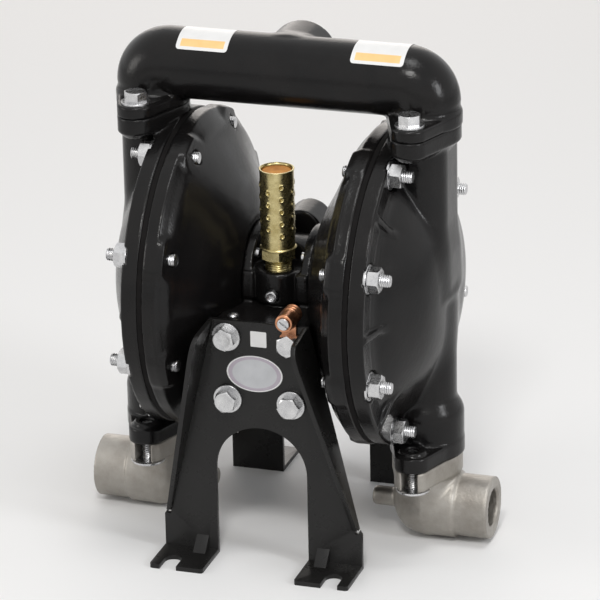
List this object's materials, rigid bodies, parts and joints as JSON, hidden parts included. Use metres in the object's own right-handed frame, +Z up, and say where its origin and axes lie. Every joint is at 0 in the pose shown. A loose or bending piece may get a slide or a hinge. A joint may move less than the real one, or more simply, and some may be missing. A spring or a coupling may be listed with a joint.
{
  "type": "air_operated_diaphragm_pump",
  "caption": "Air operated double diaphragm pump with two domed fluid caps, top outlet manifold, two inlet elbows, exhaust silencer and folded steel stands",
  "frame": {"origin": "centre of the floor contact, midway between the two stands and on the vertical plane through the shaft", "axes": "+Z up, shaft along X, outlet port and air inlet towards +Y, exhaust silencer on the -Y side"},
  "size_m": [0.2636, 0.2014, 0.3248],
  "materials": {
    "painted_casting": "gloss",
    "bare_casting": "satin",
    "stand_paint": "satin",
    "diaphragm_elastomer": "matte",
    "ball_elastomer": "matte",
    "acetal": "satin",
    "seal_rubber": "matte",
    "muffler_plated": "satin",
    "muffler_element": "matte",
    "copper": "satin",
    "ground_steel": "gloss",
    "clamp_plate": "satin",
    "zinc_plated": "satin"
  },
  "bodies": {
    "housing": {"air_cap_left": "painted_casting", "air_cap_right": "painted_casting", "air_cap_screws": "zinc_plated", "center_body": "painted_casting", "cover_screw": "zinc_plated", "diaphragm_left": "diaphragm_elastomer", "diaphragm_right": "diaphragm_elastomer", "flange_nuts": "zinc_plated", "flange_studs": "zinc_plated", "flange_washers": "zinc_plated", "fluid_cap_left": "painted_casting", "fluid_cap_right": "painted_casting", "ground_lug": "copper", "ground_lug_screw": "zinc_plated", "inlet_bolts": "zinc_plated", "inlet_elbow_left": "bare_casting", "inlet_elbow_right": "bare_casting", "inlet_seat_left": "acetal", "inlet_seat_right": "acetal", "muffler_can": "muffler_plated", "muffler_element": "muffler_element", "muffler_fitting": "muffler_plated", "outlet_bolts": "zinc_plated", "outlet_manifold": "painted_casting", "outlet_seat_left": "acetal", "outlet_seat_right": "acetal", "outlet_washers": "zinc_plated", "rod_bushing_left": "acetal", "rod_bushing_right": "acetal", "rod_seal_left": "seal_rubber", "rod_seal_right": "seal_rubber", "seat_seals": "seal_rubber", "socket_plug": "zinc_plated", "stand_bolts": "zinc_plated", "stand_front": "stand_paint", "stand_rear": "stand_paint", "stand_washers": "zinc_plated", "valve_plugs": "clamp_plate"},
    "shaft_assembly": {"diaphragm_rod": "ground_steel", "diaphragm_screw_left": "zinc_plated", "diaphragm_screw_right": "zinc_plated", "air_side_washer_left": "clamp_plate", "air_side_washer_right": "clamp_plate", "fluid_side_washer_left": "clamp_plate", "fluid_side_washer_right": "clamp_plate"},
    "pilot": {"pilot_rod": "ground_steel"},
    "spool": {"valve_spool": "ground_steel"},
    "outlet_ball_left_body": {"outlet_ball_left": "ball_elastomer"},
    "outlet_ball_right_body": {"outlet_ball_right": "ball_elastomer"},
    "inlet_ball_left_body": {"inlet_ball_left": "ball_elastomer"},
    "inlet_ball_right_body": {"inlet_ball_right": "ball_elastomer"}
  },
  "joints": [
    {"name": "shaft_stroke", "type": "slide", "parent": "housing", "child": "shaft_assembly", "axis": [1, 0, 0], "range_m": [-0.009, 0.009], "deforming": ["diaphragm_left", "diaphragm_right"]},
    {"name": "pilot_stroke", "type": "slide", "parent": "housing", "child": "pilot", "axis": [1, 0, 0], "range_m": [-0.003, 0.003]},
    {"name": "spool_shift", "type": "slide", "parent": "housing", "child": "spool", "axis": [1, 0, 0], "range_m": [-0.004, 0.004]},
    {"name": "outlet_ball_left_lift", "type": "slide", "parent": "housing", "child": "outlet_ball_left_body", "axis": [0, 0, 1], "range_m": [0, 0.006]},
    {"name": "outlet_ball_right_lift", "type": "slide", "parent": "housing", "child": "outlet_ball_right_body", "axis": [0, 0, 1], "range_m": [0, 0.006]},
    {"name": "inlet_ball_left_lift", "type": "slide", "parent": "housing", "child": "inlet_ball_left_body", "axis": [0, 0, 1], "range_m": [0, 0.006]},
    {"name": "inlet_ball_right_lift", "type": "slide", "parent": "housing", "child": "inlet_ball_right_body", "axis": [0, 0, 1], "range_m": [0, 0.006]}
  ],
  "couplings": [
    {"joint": "pilot_stroke", "follows": "shaft_stroke", "ratio": 0.33333}
  ]
}
